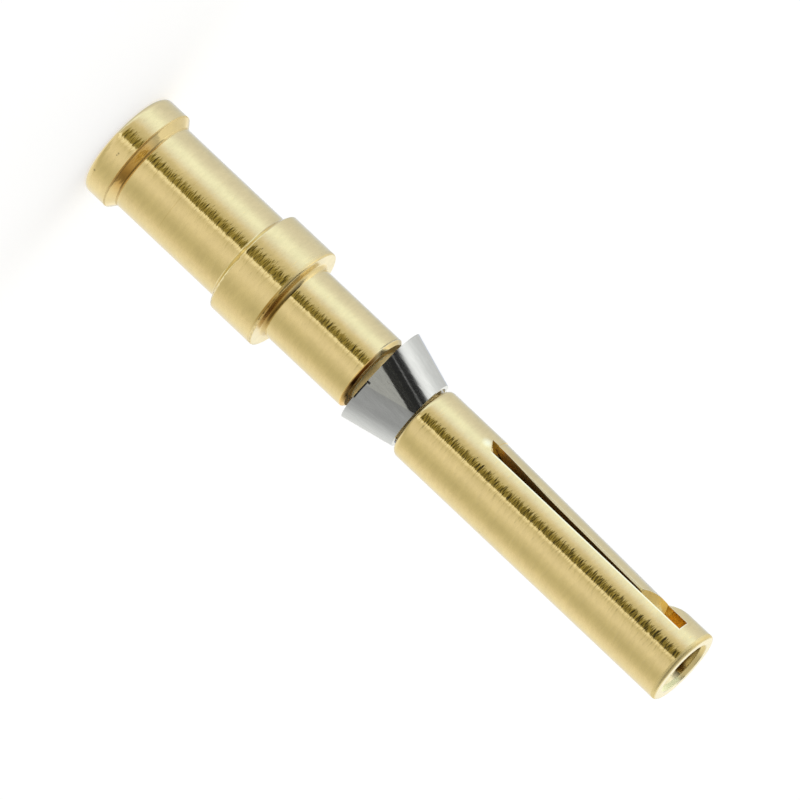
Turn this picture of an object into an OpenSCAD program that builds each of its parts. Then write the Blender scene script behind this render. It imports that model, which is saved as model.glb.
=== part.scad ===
// Crimp socket contact: a turned and gold plated contact with a loose spring clip in its groove.
// The contact stands on the end face of its crimp barrel, with the mating end at the top (+Z).
// The crown of the spring tongue faces -X.

/* [Crimp barrel] */
// Diameter of the rear flange
flange_d = 3.6; // [3.4:0.05:4.2]
// Length of the flange up to its chamfer
flange_l = 0.89; // [0.6:0.01:1.5]
// Length of the chamfer from the flange down to the barrel
flange_chamfer = 0.215; // [0.1:0.005:0.4]
// Rounding of the flange's rear edge
flange_round = 0.2; // [0.02:0.01:0.25]
// Diameter of the crimp barrel
barrel_d = 3.07; // [2.8:0.01:3.3]
// Length of the plain barrel between its two chamfers
barrel_l = 4.07; // [3:0.01:7]
// Fillet at both ends of the plain barrel
barrel_fillet = 0.07; // [0.02:0.01:0.15]
// Diameter of the bore for the wire
wire_bore_d = 1.75; // [1.2:0.05:1.9]
// Depth of the wire bore at full diameter
wire_bore_l = 7.5; // [5:0.1:8.5]
// Chamfer at the mouth of the wire bore
wire_entry = 0.2; // [0.05:0.01:0.3]

/* [Collar and neck] */
// Diameter of the collar
collar_d = 3.63; // [3.4:0.01:4.2]
// Length of the chamfer from the barrel up to the collar
collar_chamfer = 0.15; // [0.1:0.005:0.4]
// Length of the collar in front of its chamfer
collar_l = 1.67; // [1:0.01:3]
// Rounding of the collar's front edge
collar_round = 0.06; // [0.02:0.01:0.2]
// Rounding where each of the two chamfers meets its flange or collar
chamfer_round = 0.07; // [0.02:0.01:0.1]
// Diameter of the neck
neck_d = 2.63; // [2.5:0.01:2.75]
// Length of the neck
neck_l = 3.31; // [2.5:0.01:6]
// Fillet between the collar and the neck
neck_fillet = 0.15; // [0.03:0.01:0.2]
// Chamfer at the front end of the neck
neck_chamfer = 0.11; // [0.03:0.01:0.2]

/* [Clip groove] */
// Diameter of the core in the groove
groove_d = 1.8; // [1.6:0.05:1.9]
// Length of the groove
groove_l = 1.99; // [1.6:0.01:3]

/* [Contact sleeve] */
// Diameter of the sleeve
sleeve_d = 2.52; // [2.4:0.01:2.6]
// Length of the sleeve
sleeve_l = 10.85; // [10.4:0.01:14]
// Rounding of the sleeve's rear edge
sleeve_rear_round = 0.2; // [0.05:0.01:0.25]
// Rounding of the sleeve's front edge
sleeve_front_round = 0.1; // [0.02:0.01:0.15]
// Diameter of the bore in the closed ring at the mouth of the pin socket
ring_bore_d = 1.65; // [1.55:0.01:1.7]
// Depth of the ring's bore from the front face
ring_bore_l = 0.85; // [0.7:0.01:0.95]
// Relief of the pin socket behind the ring, on each side
socket_relief = 0.035; // [0.01:0.005:0.06]
// Length of the taper from the ring's bore to that relief
socket_taper = 1.1; // [0.5:0.05:2]
// Depth of the pin socket at full diameter
socket_l = 9.7; // [8.5:0.05:9.9]
// Chamfer at the mouth of the pin socket
socket_entry = 0.12; // [0.03:0.01:0.18]

/* [Spring tongue] */
// Width of the tongue between the two saw slots
tongue_w = 1.43; // [1.2:0.01:1.5]
// How far the tip of the tongue is set towards the axis
tongue_set = 0.17; // [0.05:0.01:0.3]
// Distance from the rear end of the slots to the bend at the tongue's root
tongue_bend = 0.25; // [0.1:0.01:0.8]
// Width of the two saw slots
saw_kerf = 0.38; // [0.25:0.01:0.4]
// Lean of each slot towards the axis, in degrees
saw_lean = 24; // [0:1:30]
// Diameter of the slotting saw
saw_d = 16; // [13:0.1:18]
// Length of a slot along the edge of the tongue
slot_l = 8; // [7.5:0.05:8.2]
// Distance from the sleeve's front end to the slots
slot_front = 0.73; // [0.5:0.01:0.9]
// Distance from the sleeve's front end to the middle of the gap at the tongue's tip
tip_front = 1.4; // [1.3:0.01:1.7]
// Width of the gap between the tongue's tip and the front ring
tip_gap = 0.7; // [0.4:0.01:0.8]
// Slant of that gap across the tongue, in degrees
tip_slant = 38; // [0:1:40]

/* [Retention clip] */
// Thickness of the clip's sheet
clip_sheet = 0.12; // [0.08:0.01:0.16]
// Width of the clip's flat spine at its front end
clip_spine_w = 0.1; // [0.05:0.01:0.3]
// Width of the lengthwise split opposite the spine, at the clip's front end
clip_split = 0.45; // [0.3:0.01:0.8]
// How far the wing on the crown's side spreads, in degrees
clip_crown_spread = 17.3; // [10:0.1:18]
// How far the other wing spreads, in degrees
clip_other_spread = 12.9; // [6:0.1:16]
// Room between the groove's core and the clip's front end, on each side
clip_clearance = 0.1; // [0.07:0.005:0.15]
// Gap left where the loose clip leans nearest to the core
clip_lean_gap = 0.035; // [0.02:0.005:0.06]
// Tilt of the loose clip in its groove, in degrees
clip_tilt = 3.5; // [0:0.1:3.8]
// End play between the clip's front end and the sleeve
clip_front_play = 0.12; // [0.1:0.005:0.2]
// End play between the clip's rear end and the neck
clip_rear_play = 0.185; // [0.15:0.005:0.3]

/* [Hidden] */
$fn = 128;
// Point angle of the drills that made the two bores
drill_angle = 118;
// Step at the root and along the sides of the tongue where it was pressed in
root_step = 0.02;
// How far the tongue's window runs into the slots on both sides
window_lap = 0.05;
// Length of the tongue's root that lies in the uncut sleeve
root_overlap = 0.3;
// How deep the tongue's window reaches below the tongue's inner corners
window_floor = 0.08;
// How deep the square front end of a slot reaches below the edge of the tongue
slot_end_depth = 0.33;
// Extra length of a cut past the surface that it starts from
past = 0.5;

flange_r = flange_d / 2;
barrel_r = barrel_d / 2;
collar_r = collar_d / 2;
neck_r = neck_d / 2;
groove_r = groove_d / 2;
sleeve_r = sleeve_d / 2;
wire_r = wire_bore_d / 2;
ring_r = ring_bore_d / 2;
socket_r = ring_r + socket_relief;

// Stations along the axis, from the rear face to the front face
barrel_z = flange_l + flange_chamfer;
collar_chamfer_z = barrel_z + barrel_l;
collar_z = collar_chamfer_z + collar_chamfer;
neck_z = collar_z + collar_l;
groove_z = neck_z + neck_l;
sleeve_z = groove_z + groove_l;
front_z = sleeve_z + sleeve_l;

// Directions of the two chamfers in the half section, in degrees from the radius
flange_slope = atan2(flange_chamfer, barrel_r - flange_r);
collar_slope = atan2(collar_chamfer, collar_r - barrel_r);

// The saw slots: a leaning disc that dips into the sleeve on each side of the tongue
saw_r = saw_d / 2;
tongue_edge_x = sqrt(sleeve_r ^ 2 - (tongue_w / 2) ^ 2);
tongue_edge_turn = asin(tongue_w / 2 / sleeve_r) - saw_lean;
slot_wall_y = sleeve_r * sin(tongue_edge_turn);
slot_wall_x = sleeve_r * cos(tongue_edge_turn);
saw_x = slot_wall_x + sqrt(saw_r ^ 2 - (slot_l / 2) ^ 2);
slot_mid_z = front_z - slot_front - slot_l / 2;

// The tongue: it bends in front of the slots' rear ends and stops at the slanted gap
root_z = slot_mid_z - slot_l / 2 + tongue_bend;
window_x = sqrt(socket_r ^ 2 - (tongue_w / 2) ^ 2) - window_floor;
tip_z = front_z - tip_front;
tip_half = tip_gap / cos(tip_slant) / 2;
tongue_l = tip_z - tip_half - root_z;
tongue_angle = asin(tongue_set / tongue_l);

// The clip: its front end lies loose round the core and leans to the crown's side
clip_front_z = sleeve_z - clip_front_play;
clip_l = groove_l - clip_front_play - clip_rear_play;
clip_inner_r = groove_r + clip_clearance;
clip_outer_r = clip_inner_r + clip_sheet;
clip_lean = clip_clearance - clip_lean_gap;

// Sliver between a corner of a section and the arc that rounds it, with a tail behind the corner.
// The corner's two sides run off at the angles a and b, in degrees.
module corner_sliver(corner, a, b, radius) {
    half = (b - a) / 2;
    into = [cos(a + half), sin(a + half)];
    centre = corner + radius / sin(half) * into;
    reach = radius / tan(half);
    difference() {
        polygon([
            corner - radius * into,
            corner + reach * [cos(a), sin(a)],
            centre,
            corner + reach * [cos(b), sin(b)]
        ]);
        translate(centre) circle(radius);
    }
}

// Half section of the turned contact, without its bores
module turned_section() {
    difference() {
        polygon([
            [0, 0],
            [flange_r, 0],
            [flange_r, flange_l],
            [barrel_r, barrel_z],
            [barrel_r, collar_chamfer_z],
            [collar_r, collar_z],
            [collar_r, neck_z],
            [neck_r, neck_z],
            [neck_r, groove_z - neck_chamfer],
            [neck_r - neck_chamfer, groove_z],
            [groove_r, groove_z],
            [groove_r, sleeve_z],
            [sleeve_r, sleeve_z],
            [sleeve_r, front_z],
            [0, front_z]
        ]);
        corner_sliver([flange_r, 0], 90, 180, flange_round);
        corner_sliver([flange_r, flange_l], flange_slope, 270, chamfer_round);
        corner_sliver([collar_r, collar_z], 90, 180 + collar_slope, chamfer_round);
        corner_sliver([collar_r, neck_z], 180, 270, collar_round);
        corner_sliver([sleeve_r, sleeve_z], 90, 180, sleeve_rear_round);
        corner_sliver([sleeve_r, front_z], 180, 270, sleeve_front_round);
    }
    corner_sliver([barrel_r, barrel_z], flange_slope - 180, 90, barrel_fillet);
    corner_sliver([barrel_r, collar_chamfer_z], -90, collar_slope, barrel_fillet);
    corner_sliver([neck_r, neck_z], 0, 90, neck_fillet);
}

// Half section of a drilled hole that starts at z = 0 and runs up, with a chamfered mouth
module drilled_section(r, depth, entry) {
    polygon([
        [0, -past],
        [r + entry + past, -past],
        [r, entry],
        [r, depth],
        [0, depth + r / tan(drill_angle / 2)]
    ]);
}

module wire_bore() {
    rotate_extrude() drilled_section(wire_r, wire_bore_l, wire_entry);
}

// The socket is drilled at the ring's diameter and opens out a little behind the ring
module pin_socket() {
    translate([0, 0, front_z])
        mirror([0, 0, 1])
            rotate_extrude() {
                drilled_section(ring_r, socket_l, socket_entry);
                polygon([
                    [0, ring_bore_l],
                    [ring_r, ring_bore_l],
                    [socket_r, ring_bore_l + socket_taper],
                    [socket_r, socket_l],
                    [0, socket_l]
                ]);
            }
}

// The contact as it leaves the lathe, with both bores
module turned_blank() {
    difference() {
        rotate_extrude() turned_section();
        wire_bore();
        pin_socket();
    }
}

// Plain wall of the sleeve, from which the tongue is cut
module sleeve_tube() {
    difference() {
        translate([0, 0, sleeve_z]) cylinder(r = sleeve_r, h = sleeve_l);
        pin_socket();
    }
}

// The two slots beside the tongue: a saw's round track with a square end at the front
module saw_slots() {
    for (side = [-1, 1])
        rotate([0, 0, -side * saw_lean])
            translate([0, side * (slot_wall_y + saw_kerf / 2), slot_mid_z]) {
                translate([-saw_x, 0, 0])
                    rotate([90, 0, 0]) cylinder(r = saw_r, h = saw_kerf, center = true);
                translate([-slot_wall_x + slot_end_depth - sleeve_r, -saw_kerf / 2, 0])
                    cube([sleeve_r, saw_kerf, slot_l / 2]);
            }
}

// Block over the crown, wider than the tongue by more on each side, from z0 to a slanted end about z1
module crown_block(z0, z1, more) {
    slant = tan(tip_slant);
    inner_y = tongue_w / 2 + more - (tongue_edge_x - window_x) * tan(saw_lean);
    outer_y = tongue_w / 2 + more + past * tan(saw_lean);
    intersection() {
        translate([0, 0, z0])
            linear_extrude(z1 - z0 + sleeve_r)
                polygon([
                    [-window_x, -inner_y],
                    [-tongue_edge_x - past, -outer_y],
                    [-tongue_edge_x - past, outer_y],
                    [-window_x, inner_y]
                ]);
        rotate([0, -90, 0])
            linear_extrude(2 * sleeve_r)
                polygon([
                    [z0 - past, -sleeve_r],
                    [z1 - sleeve_r * slant, -sleeve_r],
                    [z1 + sleeve_r * slant, sleeve_r],
                    [z0 - past, sleeve_r]
                ]);
    }
}

// The tongue is cut from the sleeve's own wall and turned inwards at its root
module tongue() {
    translate([-sleeve_r + root_step, 0, root_z])
        rotate([0, tongue_angle, 0])
            translate([sleeve_r, 0, -root_z])
                intersection() {
                    sleeve_tube();
                    crown_block(root_z - root_overlap, tip_z - tip_half, -root_step);
                }
}

module contact_body() {
    color("gold")
        union() {
            difference() {
                turned_blank();
                saw_slots();
                crown_block(root_z, tip_z + tip_half, window_lap);
            }
            tongue();
        }
}

// Section of one wing: half of a rolled tube on the side of -X, and its part of the flat spine
module wing_section() {
    difference() {
        circle(clip_outer_r);
        circle(clip_inner_r);
        translate([0, -clip_outer_r]) square(2 * clip_outer_r);
        translate([-(clip_split - clip_spine_w) / 2, 0]) square(clip_outer_r);
    }
    translate([0, -clip_outer_r]) square([clip_spine_w / 2, clip_sheet]);
}

// One wing, which spreads from the clip's front end at z = 0 and runs past both ends
module clip_wing(spread) {
    reach = clip_l / cos(spread) + clip_outer_r;
    translate([-clip_spine_w / 2, 0, 0])
        rotate([0, spread, 0])
            linear_extrude(2 * reach, center = true) wing_section();
}

// Flat spine on the side of -Y, which widens between the two wings
module clip_spine() {
    front_x = clip_spine_w / 4;
    translate([0, -clip_inner_r, 0])
        rotate([90, 0, 0])
            linear_extrude(clip_sheet)
                polygon([
                    [-front_x, 0],
                    [-front_x - clip_l * tan(clip_crown_spread), -clip_l],
                    [front_x + clip_l * tan(clip_other_spread), -clip_l],
                    [front_x, 0]
                ]);
}

module retention_clip() {
    color("silver")
        translate([-clip_lean, 0, clip_front_z])
            rotate([-clip_tilt, 0, 0])
                intersection() {
                    union() {
                        clip_wing(clip_crown_spread);
                        mirror([1, 0, 0]) clip_wing(clip_other_spread);
                        clip_spine();
                    }
                    translate([-collar_d, -collar_d, -clip_l]) cube([2 * collar_d, 2 * collar_d, clip_l]);
                }
}

contact_body();
retention_clip();
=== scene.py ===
"""Looks of the crimp socket contact: gold and steel finishes, floor, studio light and camera."""
from math import cos, degrees, radians, sin

import bpy
from mathutils import Matrix, Vector

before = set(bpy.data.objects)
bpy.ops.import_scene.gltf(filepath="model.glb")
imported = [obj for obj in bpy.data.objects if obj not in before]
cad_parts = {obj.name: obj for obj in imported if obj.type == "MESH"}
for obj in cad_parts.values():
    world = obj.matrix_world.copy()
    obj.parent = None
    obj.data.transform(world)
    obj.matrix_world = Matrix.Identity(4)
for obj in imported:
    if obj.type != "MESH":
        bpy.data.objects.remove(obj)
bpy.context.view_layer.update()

MM = 0.001

# Finishes, as linear colours, and their roughness: for the gold, from its brightest to its dullest clouds
GOLD = (0.82, 0.655, 0.325)
# Paler gold of the outer edges and the burr: partly wear, partly a painted highlight
WORN_AND_HIGHLIT_GOLD = (1.0, 0.90, 0.61)
# Painted shade inside the socket's mouth
MOUTH_SHADE_GOLD = (0.27, 0.18, 0.055)
# Painted highlight on one side of the socket's mouth
MOUTH_GLINT_GOLD = (1.0, 0.90, 0.60)
GOLD_ROUGHNESS = (0.08, 0.13)
BORED_ROUGHNESS = 0.25
STEEL = (0.605, 0.612, 0.625)
STEEL_ROUGHNESS = 0.12

# Faces beside and in front of the tongue: from and to along the axis and the softness of both ends, in mm
SLOT_WALLS_Z = (14.9, 20.5, 0.2)
SLOT_ENDS_Z = (14.2, 14.9, 0.1)
TIP_GAP_Z = (21.6, 22.4, 0.2)
TONGUE_TIP_Z = (20.6, 21.3, 0.2)
# Their colours and least roughness, and those of the burr: the walls darker with painted shade, the ends, gap and tip
# lighter with painted bounce light, and the burr paler with a painted highlight
SLOT_WALLS = ((0.45, 0.28, 0.085), 0.45)
SLOT_ENDS = ((0.85, 0.53, 0.10), 0.5)
TIP_GAP = ((0.94, 0.71, 0.29), 0.0)
TONGUE_TIP = ((1.0, 0.84, 0.40), 0.5)
BURR = (WORN_AND_HIGHLIT_GOLD, 0.3)

# The tongue in mm: its outer radius, the station and the step of its root, its slope towards the tip,
# half its width, the zone of its root's step, and where across the part its crown begins
TONGUE_R = 1.26
TONGUE_ROOT_Z = 14.665
TONGUE_ROOT_STEP = 0.02
TONGUE_SLOPE = 0.0256
TONGUE_HALF_W = (0.72, 0.74)
ROOT_STEP_Z = (14.55, 14.8)
CROWN_X = (-1.06, -1.02)

# Burr on the tongue's edges, in mm: where it starts, has its full width and stops, that width, and its lean outwards
BURR_Z = (14.7, 17.2, 20.75)
BURR_W = 0.07
BURR_LEAN = 0.95
# Painted highlight at the slot's rear tip: place and radius in mm, and colour
SLOT_GLINT = ((-0.885, -0.91, 14.40), 0.24, (1.0, 0.91, 0.58))

# Wear and a painted highlight on the outer edges: its width in mm, and the front ring, in mm along the axis, where
# less of it shows
WEAR_AND_HIGHLIGHT_W = 0.09
RING_Z = (22.85, 22.95)

# Mouth of the pin socket, in mm along the axis: the part darkened with painted shade, the part lit with a painted
# highlight, where across the part that one begins, and the station and slope of its flare
MOUTH_SHADE_Z = (22.4, 22.9)
MOUTH_GLINT_Z = (22.4, 23.2)
MOUTH_GLINT_X = (0.1, 0.4)
FLARE_Z = 22.9
FLARE_SLOPE = 0.9

# Front rounding of the neck, in mm: its zone along the axis, its middle, where across the part it is worn, and the
# slope of the wear
ROUNDING_Z = (10.16, 10.303)
ROUNDING_MIDDLE = 10.24
ROUNDING_X = (-0.95, -0.65)
ROUNDING_SLOPE = 0.9

# Painted shade in the corners, painted shade and highlights on the chamfers and edges, painted light on the groove
# under the clip, and a faint darker line round the barrel:
# from and to along the axis, from and to across it, in mm, and the gold's tint there
SHADE_AND_HIGHLIGHT_TINTS = [
    (0.84, 0.895, -0.7, 1.2, (1.05, 0.80, 0.45)),
    (0.895, 1.13, -0.45, 1.2, (0.80, 0.62, 0.35)),
    (0.895, 1.13, 0.3, 1.05, (0.66, 0.56, 0.40)),
    (1.13, 1.17, -0.7, 1.2, (1.05, 0.80, 0.45)),
    (5.165, 5.335, -0.7, 1.2, (1.06, 1.18, 1.3)),
    (7.0, 7.15, -0.15, 1.2, (0.68, 0.56, 0.32)),
    (6.87, 7.0, -0.1, 1.2, (0.80, 0.70, 0.45)),
    (10.22, 10.30, -0.45, 0.9, (0.14, 0.07, 0.03)),
    (10.18, 10.303, -0.5, 2.0, (1.05, 0.85, 0.55)),
    (10.303, 12.29, -2.0, 2.0, (1.2, 1.22, 1.3)),
    (2.735, 2.755, -0.7, 1.2, (0.90, 0.87, 0.80)),
    (6.88, 7.12, 0.3, 1.0, (0.66, 0.54, 0.36)),
    (6.985, 7.003, -3.0, -0.9, (0.96, 1.06, 1.4)),
    (6.985, 7.003, 1.3, 3.0, (0.96, 1.06, 1.4)),
    (22.99, 23.12, -2.0, 2.0, (1.1, 1.13, 1.12)),
    (23.13, 23.2, -3.0, 3.0, (0.95, 1.04, 1.3)),
]
# How softly a tint starts along the axis and across it, in mm
TINT_SOFT = (0.01, 0.4)
# Where the gold is duller than on the turned faces: from and to along the axis in mm, and the least roughness there
DULL = [(0.84, 0.90, 0.50), (1.10, 1.17, 0.50), (6.86, 7.12, 0.30), (10.20, 10.303, 0.30), (10.303, 12.29, 0.60),
        (22.99, 23.12, 0.50), (23.12, 23.20, 0.20)]
# Small dark marks on the gold: place and radius in mm
SPECKS = [((0.40, -1.755, 0.50), 0.05), ((0.47, -1.74, 0.49), 0.04), ((1.24, -1.30, 0.20), 0.06),
          ((1.21, -0.355, 15.95), 0.06)]

# The clip: its tilt, and in mm its front station, its length, the point from which the line runs where its spine
# starts to bow, the lean of that line, and how softly and how steeply the spine bows
CLIP_TILT = radians(3.5)
CLIP_FRONT_Z = 12.175
CLIP_L = 1.685
BOW_START = (0.04, 12.12)
BOW_LEAN = 0.27
BOW_SOFT = 0.06
BOW_SLOPE = 0.065
# Painted shadow of the gap behind the clip's rear rim, as a dark line and a hook at its end, in mm: from and to across
# the part and how softly, and where each fades along the clip
RIM_SHADOW_LINE = (0.26, 0.86, 0.04, 0.04, 0.06)
RIM_SHADOW_HOOK = (0.21, 0.28, 0.02, 0.10, 0.14)

# The studio round the part, by the angle from the camera's side towards -X: how bright it is,
# and the height, in degrees, above which it is dark
RING_LEVELS = [(-180, 0.85), (-157, 0.95), (-131, 1.0), (-114, 0.92), (-101, 0.81), (-89, 0.70), (-78, 0.64),
               (-68, 0.62), (-59, 0.66), (-45, 0.76), (-32, 0.86), (-16, 0.80), (-6, 0.76), (-1, 1.06), (6, 1.1),
               (12, 0.70), (32, 0.68), (41, 0.80), (50, 0.96), (59, 1.12), (68, 1.22), (78, 1.21), (89, 1.06),
               (101, 0.93), (114, 0.86), (131, 0.80), (150, 0.76), (180, 0.85)]
DARK_EDGE = [(-180, 60), (-125, 60), (-110, 40), (-94, 16), (-82, 12.4), (-70, 11.4), (-59, 8), (-47, 5.6),
             (-35, 2.8), (-23, 0.6), (-12, -1.4), (-4, -3.6), (0, -5.2), (3.6, -5.2), (4.6, -28), (24, -12),
             (50, 7.3), (62, 20), (75, 38), (97, 65), (140, 62), (180, 60)]
# How bright the dark side is, by the height in degrees
DARK_LEVELS = [(-90, 0.30), (-14, 0.30), (-8, 0.035), (8, 0.025), (15, 0.14), (30, 0.22), (45, 0.30), (60, 0.42),
               (78, 0.80), (90, 0.80)]
# Bright slit in the dark side, by the same angle
SLIT = 26.5

# Half the floor's side in metres, its colour, and the glow that makes it just white to the camera where it is lit
FLOOR_HALF = 3.0
FLOOR_GREY = (0.8, 0.8, 0.8)
FLOOR_GLOW = ((0.96, 0.96, 1.0), 0.535)

# The camera's tilt above the part's equator and the roll that lays the axis across the picture, in degrees,
# its distance in metres, its lens in mm, and the point it looks at, in metres
CAMERA_TILT = 12.0
CAMERA_ROLL = 133.35
CAMERA_DISTANCE = 0.5
CAMERA_LENS = 763.0
CAMERA_TARGET = Vector((-0.0000147, 0.0, 0.01141))


class Nodes:
    """Makes and links the nodes of one tree."""

    def __init__(self, tree):
        self.tree = tree
        tree.nodes.clear()

    def add(self, kind, _ins=None, **props):
        node = self.tree.nodes.new("ShaderNode" + kind)
        for name, value in props.items():
            setattr(node, name, value)
        for key, value in (_ins or {}).items():
            self.put(node.inputs[key], value)
        return node

    def put(self, socket, value):
        if isinstance(value, bpy.types.NodeSocket):
            self.tree.links.new(value, socket)
        else:
            socket.default_value = value

    def math(self, operation, *values, clamp=False):
        node = self.add("Math", dict(enumerate(values)), operation=operation, use_clamp=clamp)
        return node.outputs[0]

    def vector(self, operation, *values, output="Value"):
        return self.add("VectorMath", dict(enumerate(values)), operation=operation).outputs[output]

    def ramp(self, value, low, high, to_low=0.0, to_high=1.0, smooth=True):
        """Value from low to high, carried over to to_low to to_high and held outside."""
        node = self.add("MapRange", {"Value": value, "From Min": low, "From Max": high,
                                     "To Min": to_low, "To Max": to_high},
                        interpolation_type="SMOOTHSTEP" if smooth else "LINEAR")
        return node.outputs["Result"]

    def ramp_mm(self, value, ends, to_low=0.0, to_high=1.0):
        return self.ramp(value, ends[0] * MM, ends[1] * MM, to_low, to_high)

    def between(self, value, low, high, soft):
        """One between low and high, nought outside, with soft ends, all in mm."""
        return self.math("MULTIPLY", self.ramp_mm(value, (low - soft, low + soft)),
                         self.ramp_mm(value, (high - soft, high + soft), 1.0, 0.0))

    def slope(self, value, start, steep):
        """Rise of a slope that is nought where the value is at start, in mm."""
        return self.math("MULTIPLY_ADD", value, steep, -steep * start * MM)

    def at_least(self, value, factor, least):
        return self.math("MAXIMUM", value, self.math("MULTIPLY", factor, least))

    def spot(self, place, centre, radius, strength=1.0):
        """Strength at the centre, fading out to the radius, both in mm."""
        off = self.vector("DISTANCE", place, [c * MM for c in centre])
        return self.ramp_mm(off, (0.0, radius), strength, 0.0)

    def blend(self, factor, a, b):
        """From value a at a factor of nought to value b at one."""
        node = self.add("Mix", {0: factor, 2: a, 3: b}, data_type="FLOAT")
        return node.outputs[0]

    def mix(self, factor, a, b, blend="MIX"):
        """From colour a at a factor of nought to colour b at one, held within one."""
        node = self.add("Mix", data_type="RGBA", blend_type=blend, clamp_result=True)
        self.put(node.inputs["Factor"], factor)
        self.put(node.inputs[6], a)
        self.put(node.inputs[7], b)
        return node.outputs[2]


def rgba(colour, level=1.0):
    return (*(c * level for c in colour), 1.0)


def new_material(name):
    material = bpy.data.materials.new(name)
    material.use_nodes = True
    return material, Nodes(material.node_tree)


def tongue_burr(n, x, y, z, inward):
    """Depth of the bright burr that the saw left on the tongue's outer edges, which drop towards the tip."""
    start, full, stop = BURR_Z
    drop = n.math("ADD", n.slope(z, TONGUE_ROOT_Z, TONGUE_SLOPE), TONGUE_ROOT_STEP * MM)
    across = n.add("CombineXYZ", {"X": n.math("SUBTRACT", x, drop), "Y": y}).outputs[0]
    width = n.ramp_mm(z, (start, full), 0.0, BURR_W * MM)
    past = n.math("SUBTRACT", n.vector("LENGTH", across), TONGUE_R * MM)
    burr = n.math("MAXIMUM", n.math("ADD", past, width), 0.0)
    burr = n.math("MULTIPLY", n.math("MULTIPLY", burr, inward), n.between(z, start, stop, 0.05))
    return n.math("MULTIPLY", burr, n.ramp_mm(n.math("ABSOLUTE", y), TONGUE_HALF_W, 1.0, 0.0))


def edge_wear_and_highlight(n, x, z, facing):
    """Outer edges, paler partly from wear and partly as a painted highlight, where a rounded normal turns away from
    the face's own, but few on the ring and none at the root.
    """
    rounded = n.add("Bevel", {"Radius": WEAR_AND_HIGHLIGHT_W * MM}, samples=6).outputs[0]
    alike = n.vector("DOT_PRODUCT", rounded, n.add("NewGeometry").outputs["Normal"])
    worn_and_highlit = n.math("MULTIPLY", n.ramp(alike, 0.985, 0.90, 0.0, 0.9), n.ramp(facing, 0.2, 0.6))
    root = n.math("MULTIPLY", n.between(z, *ROOT_STEP_Z, 0.02), n.ramp_mm(x, CROWN_X, 1.0, 0.0))
    ring = n.ramp_mm(z, RING_Z, 0.0, 0.75)
    return n.math("SUBTRACT", n.math("SUBTRACT", worn_and_highlit, root), ring, clamp=True)


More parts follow.
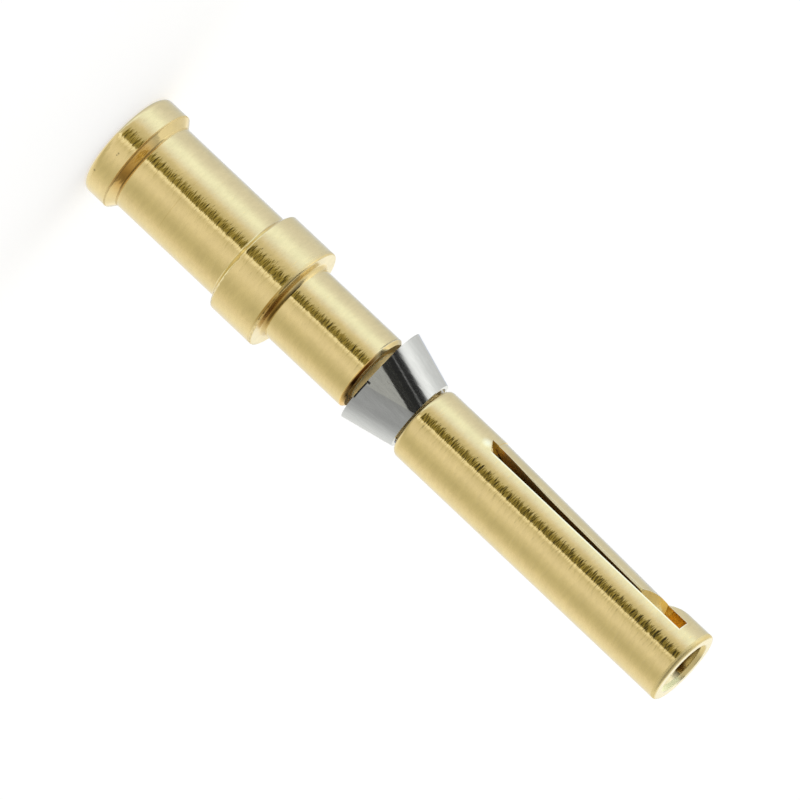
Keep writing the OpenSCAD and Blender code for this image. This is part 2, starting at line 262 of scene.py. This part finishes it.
def gold_material():
    """Gold plate over turned brass: rings round the axis, clouded colour and roughness, dull slot walls, and painted
    shade, bounce light and highlights in the slot, the socket's mouth, the corners and on the edges.
    """
    material, n = new_material("gold_plate")
    coords = n.add("TexCoord")
    place = coords.outputs["Object"]
    x, y, z = n.add("SeparateXYZ", {0: place}).outputs
    rings = n.add("Mapping", {"Vector": place, "Scale": (0.3, 0.3, 1.0)}).outputs[0]
    marks = n.add("TexNoise", {"Vector": rings, "Scale": 9000.0, "Detail": 2.0, "Roughness": 0.6}).outputs[0]
    bands = n.add("TexNoise", {"Vector": rings, "Scale": 1500.0, "Detail": 1.0}).outputs[0]
    cloud = n.add("TexNoise", {"Vector": place, "Scale": 900.0, "Detail": 4.0, "Roughness": 0.6}).outputs[0]
    colour = n.mix(n.ramp(cloud, 0.3, 0.7, smooth=False), rgba(GOLD, 0.95), rgba(GOLD, 1.04))
    shade = n.ramp(marks, 0.3, 0.7, 0.96, 1.04, smooth=False)
    colour = n.mix(1.0, colour, n.add("CombineColor", {0: shade, 1: shade, 2: shade}).outputs[0], "MULTIPLY")
    rough = n.ramp(cloud, 0.3, 0.75, *GOLD_ROUGHNESS, smooth=False)

    # The faces of the slots, and still more so those of the bores, don't face away from the axis
    outward = n.vector("NORMALIZE", n.add("CombineXYZ", {"X": x, "Y": y}).outputs[0], output="Vector")
    facing = n.vector("DOT_PRODUCT", coords.outputs["Normal"], outward)
    inward = n.ramp(facing, 0.5, 0.7, 1.0, 0.0)
    bored = n.ramp(facing, -0.5, -0.2, 1.0, 0.0)

    # Beside the tongue: dull walls darkened with painted shade, a burr along the tongue's edges made paler with a
    # painted highlight, and ends, gap and tip lit with painted bounce light
    burr = tongue_burr(n, x, y, z, inward)
    burred = n.ramp_mm(burr, (0.0, 0.01))
    walls, ends, gap, tip = (n.math("MULTIPLY", inward, n.between(z, *zone))
                             for zone in (SLOT_WALLS_Z, SLOT_ENDS_Z, TIP_GAP_Z, TONGUE_TIP_Z))
    walls = n.math("MULTIPLY", walls, n.math("SUBTRACT", 1.0, burred))
    ends = n.math("MULTIPLY", ends, n.ramp_mm(x, CROWN_X))
    for there, (tone, least) in ((walls, SLOT_WALLS), (burred, BURR), (ends, SLOT_ENDS), (gap, TIP_GAP),
                                 (tip, TONGUE_TIP)):
        colour = n.mix(there, colour, rgba(tone))
        rough = n.at_least(rough, there, least)

    # Outer edges paler: partly wear, partly a painted highlight
    colour = n.mix(edge_wear_and_highlight(n, x, z, facing), colour, rgba(WORN_AND_HIGHLIT_GOLD))
    # Painted shade inside the socket's mouth, and a painted highlight on one side of it
    mouth_shade = n.math("MULTIPLY", bored, n.between(z, *MOUTH_SHADE_Z, 0.05))
    colour = n.mix(mouth_shade, colour, rgba(MOUTH_SHADE_GOLD))
    mouth_glint = n.math("MULTIPLY", bored, n.between(z, *MOUTH_GLINT_Z, 0.1))
    mouth_glint = n.math("MULTIPLY", mouth_glint, n.ramp_mm(x, MOUTH_GLINT_X))
    colour = n.mix(mouth_glint, colour, rgba(MOUTH_GLINT_GOLD))
    # Painted highlight at the slot's rear tip
    centre, radius, tone = SLOT_GLINT
    colour = n.mix(n.spot(place, centre, radius), colour, rgba(tone))
    # Painted shade and highlights in the corners, on the chamfers and on the edges, and painted light under the clip
    for low, high, left, right, tint in SHADE_AND_HIGHLIGHT_TINTS:
        there = n.math("MULTIPLY", n.between(z, low, high, TINT_SOFT[0]), n.between(x, left, right, TINT_SOFT[1]))
        colour = n.mix(there, colour, rgba(tint), "MULTIPLY")
    for centre, radius in SPECKS:
        colour = n.mix(n.spot(place, centre, radius, 0.75), colour, rgba(GOLD, 0.25))
    for low, high, least in DULL:
        rough = n.at_least(rough, n.between(z, low, high, 0.001), least)
    rough = n.at_least(rough, bored, BORED_ROUGHNESS)

    # Slopes that catch the light: the socket's mouth, the worn upper side of the neck's rounding, and the burr
    lit = n.math("MULTIPLY", mouth_glint, n.slope(z, FLARE_Z, -FLARE_SLOPE))
    rounding = n.math("MULTIPLY", n.between(z, *ROUNDING_Z, 0.002), n.ramp_mm(x, ROUNDING_X, 1.0, 0.0))
    lit = n.math("ADD", lit, n.math("MULTIPLY", rounding, n.slope(z, ROUNDING_MIDDLE, ROUNDING_SLOPE)))
    lit = n.math("MULTIPLY_ADD", burr, -BURR_LEAN, lit)
    sloped = n.add("Bump", {"Strength": 1.0, "Distance": 1.0, "Height": lit})
    # Turning marks, fainter on the bored faces and the burr
    turned = n.add("Bump", {"Strength": n.math("MULTIPLY_ADD", n.math("MAXIMUM", bored, burred), -0.9, 1.0),
                            "Distance": 0.007 * MM, "Height": n.math("MULTIPLY_ADD", bands, 0.6, marks),
                            "Normal": sloped.outputs[0]})
    shader = n.add("BsdfPrincipled", {"Base Color": colour, "Metallic": 1.0, "Roughness": rough,
                                      "Normal": turned.outputs[0]})
    n.add("OutputMaterial", {"Surface": shader.outputs[0]})
    return material


def steel_material():
    """Rolled spring steel: matt, with faint marks from rolling, a spine that bows towards the crown, and a painted
    shadow along the rear rim.
    """
    material, n = new_material("spring_steel")
    place = n.add("TexCoord").outputs["Object"]
    x, y, z = n.add("SeparateXYZ", {0: place}).outputs
    start = n.math("ADD", n.slope(z, BOW_START[1], BOW_LEAN), BOW_START[0] * MM)
    bow = n.math("SMOOTH_MAX", n.math("SUBTRACT", start, x), 0.0, BOW_SOFT * MM)
    bowed = n.add("Bump", {"Strength": 1.0, "Distance": 1.0, "Height": n.math("MULTIPLY", bow, -BOW_SLOPE)})
    along = n.add("Mapping", {"Vector": place, "Scale": (1.0, 1.0, 0.12)}).outputs[0]
    marks = n.add("TexNoise", {"Vector": along, "Scale": 9000.0, "Detail": 4.0, "Roughness": 0.6}).outputs[0]
    bump = n.add("Bump", {"Strength": 0.1, "Distance": 0.02 * MM, "Height": marks, "Normal": bowed.outputs[0]})
    colour = n.mix(n.ramp(marks, 0.3, 0.7, smooth=False), rgba(STEEL, 0.95), rgba(STEEL, 1.04))
    # Painted shadow of the gap behind the clip, as a dark line on the rear rim beside the spine
    rear = CLIP_FRONT_Z * cos(CLIP_TILT) - CLIP_L
    length = n.math("ADD", n.math("MULTIPLY", y, sin(CLIP_TILT)),
                    n.math("MULTIPLY_ADD", z, cos(CLIP_TILT), -rear * MM))
    line, hook = (n.math("MULTIPLY", n.between(x, left, right, soft), n.ramp_mm(length, fade, 1.0, 0.0))
                  for left, right, soft, *fade in (RIM_SHADOW_LINE, RIM_SHADOW_HOOK))
    colour = n.mix(n.math("MAXIMUM", line, hook), colour, rgba(STEEL, 0.06))
    shader = n.add("BsdfPrincipled", {"Base Color": colour, "Metallic": 1.0, "Roughness": STEEL_ROUGHNESS,
                                      "Normal": bump.outputs[0]})
    n.add("OutputMaterial", {"Surface": shader.outputs[0]})
    return material


def dress(node, material):
    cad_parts[node].data.materials.clear()
    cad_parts[node].data.materials.append(material)


def add_floor():
    """Pale floor under the part. It takes the part's shadow, and the metal sees the studio instead."""
    mesh = bpy.data.meshes.new("floor")
    corners = [(-1, -1), (1, -1), (1, 1), (-1, 1)]
    mesh.from_pydata([(FLOOR_HALF * x, FLOOR_HALF * y, 0) for x, y in corners], [], [(0, 1, 2, 3)])
    floor = bpy.data.objects.new("floor", mesh)
    bpy.context.scene.collection.objects.link(floor)
    material, n = new_material("pale_floor")
    colour, strength = FLOOR_GLOW
    lit = n.add("BsdfDiffuse", {"Color": rgba(FLOOR_GREY)})
    glow = n.add("Emission", {"Color": rgba(colour), "Strength": strength})
    both = n.add("AddShader", {0: lit.outputs[0], 1: glow.outputs[0]})
    seen = n.add("LightPath").outputs["Is Camera Ray"]
    mixed = n.add("MixShader", {0: seen, 1: lit.outputs[0], 2: both.outputs[0]})
    n.add("OutputMaterial", {"Surface": mixed.outputs[0]})
    mesh.materials.append(material)
    floor.visible_glossy = False


def curve(n, value, stops, top, smooth=False):
    """Value that follows stops of (angle in degrees, value up to top)."""
    first, last = stops[0][0], stops[-1][0]
    node = n.add("ValToRGB", {0: n.ramp(value, first, last, smooth=False)})
    ramp = node.color_ramp
    ramp.interpolation = "CARDINAL" if smooth else "LINEAR"
    while len(ramp.elements) < len(stops):
        ramp.elements.new(0.5)
    for stop, (angle, level) in zip(ramp.elements, stops):
        stop.position = (angle - first) / (last - first)
        stop.color = rgba([level / top] * 3)
    return n.math("MULTIPLY", node.outputs[0], top)


def dark_side(n, turn, rise):
    """One in the studio's dark side, nought outside, with a soft edge and a slit that is less dark."""
    # A curve has no values below nought, so the edge is lifted on its way through it
    lift = 60.0
    edge = n.math("SUBTRACT", curve(n, turn, [(a, e + lift) for a, e in DARK_EDGE], 180.0), lift)
    soft = n.math("SUBTRACT", n.ramp(turn, 3.6, 4.6, 11.0, 5.0, smooth=False), n.ramp(turn, 22.0, 32.0, 0.0, 2.5))
    dark = n.ramp(n.math("DIVIDE", n.math("SUBTRACT", rise, edge), soft), -1.0, 1.0)
    slit = n.ramp(n.math("ABSOLUTE", n.math("SUBTRACT", turn, SLIT)), 0.8, 2.2, 0.4, 0.0)
    slit = n.math("MULTIPLY", slit, n.ramp(rise, -4.0, 0.0))
    return n.math("MULTIPLY", dark, n.math("SUBTRACT", 1.0, slit))


def studio_level(n, turn, rise, dark):
    """Brightness of the studio, with a little more high up on the bright side and behind the part."""
    level = curve(n, turn, RING_LEVELS, 2.0, smooth=True)
    higher = n.math("MULTIPLY", n.ramp(rise, -10.0, 6.0, 0.0, 0.1), n.ramp(turn, 45.0, 60.0))
    behind = n.math("MULTIPLY", n.ramp(rise, 0.0, 8.0, 0.0, 0.32), n.ramp(n.math("ABSOLUTE", turn), 150.0, 170.0))
    level = n.math("MULTIPLY", level, n.math("ADD", n.math("ADD", higher, behind), 1.0))
    low = curve(n, rise, DARK_LEVELS, 1.0)
    return n.math("ADD", n.math("MULTIPLY", level, n.math("SUBTRACT", 1.0, dark)), n.math("MULTIPLY", low, dark))


def studio_colour(n, turn, rise, dark, level):
    """Below the equator warmer where it is dull, cooler where it is bright, and brown at the foot of the dark side."""
    brown = n.math("MULTIPLY", dark, n.ramp(rise, -9.0, -6.0, 1.0, 0.0))
    foot = n.ramp(rise, -9.0, -3.0, 1.0, 0.0)
    cool = n.ramp(turn, 34.0, 58.0)
    red = n.math("MULTIPLY", n.ramp(level, 0.85, 1.25, 1.02, 0.94, smooth=False),
                 n.math("MULTIPLY_ADD", cool, -0.09, 1.0))
    blue = n.math("MULTIPLY", n.ramp(level, 0.4, 0.9, 0.68, 0.955, smooth=False),
                  n.math("MULTIPLY_ADD", cool, 0.26, 1.0))
    red = n.math("MULTIPLY", n.blend(foot, 1.0, red), n.math("MULTIPLY_ADD", brown, 0.12, 1.0))
    blue = n.math("MULTIPLY", n.blend(foot, 0.94, blue), n.math("MULTIPLY_ADD", brown, -0.5, 1.0))
    red, blue = n.math("MULTIPLY", level, red), n.math("MULTIPLY", level, blue)
    return n.add("CombineColor", {0: red, 1: level, 2: blue}).outputs[0]


def studio_world():
    """White to the camera. The metal sees a bright side, a duller side and a dark side above the camera."""
    world = bpy.data.worlds.new("studio")
    bpy.context.scene.world = world
    world.use_nodes = True
    n = Nodes(world.node_tree)
    x, y, z = n.add("SeparateXYZ", {0: n.add("TexCoord").outputs["Generated"]}).outputs
    # Angle round the axis from the camera's side, positive towards -X, and height above the equator, in degrees
    turn = n.math("ARCTAN2", n.math("MULTIPLY", x, -1.0), n.math("MULTIPLY", y, -1.0))
    turn = n.math("MULTIPLY", turn, degrees(1))
    rise = n.math("MULTIPLY", n.math("ARCSINE", z), degrees(1))
    dark = dark_side(n, turn, rise)
    level = studio_level(n, turn, rise, dark)
    studio = n.add("Background", {"Color": studio_colour(n, turn, rise, dark, level)})
    white = n.add("Background", {"Color": rgba((1.0, 1.0, 1.0))})
    seen = n.add("LightPath").outputs["Is Camera Ray"]
    mixed = n.add("MixShader", {0: seen, 1: studio.outputs[0], 2: white.outputs[0]})
    n.add("OutputWorld", {"Surface": mixed.outputs[0]})


def add_camera():
    data = bpy.data.cameras.new("camera")
    data.sensor_width = 36.0
    data.lens = CAMERA_LENS
    data.clip_start = 0.01
    data.clip_end = 10.0
    camera = bpy.data.objects.new("camera", data)
    bpy.context.scene.collection.objects.link(camera)
    tilt, roll = radians(CAMERA_TILT), radians(CAMERA_ROLL)
    back = Vector((0, -cos(tilt), sin(tilt)))
    side = Vector((1, 0, 0))
    over = back.cross(side)
    right = side * cos(roll) + over * sin(roll)
    up = over * cos(roll) - side * sin(roll)
    place = Matrix((right, up, back)).transposed().to_4x4()
    place.translation = CAMERA_TARGET + back * CAMERA_DISTANCE
    camera.matrix_world = place
    bpy.context.scene.camera = camera


dress("contact_body", gold_material())
dress("retention_clip", steel_material())
add_floor()
studio_world()
add_camera()
bpy.context.scene.view_settings.view_transform = "Standard"
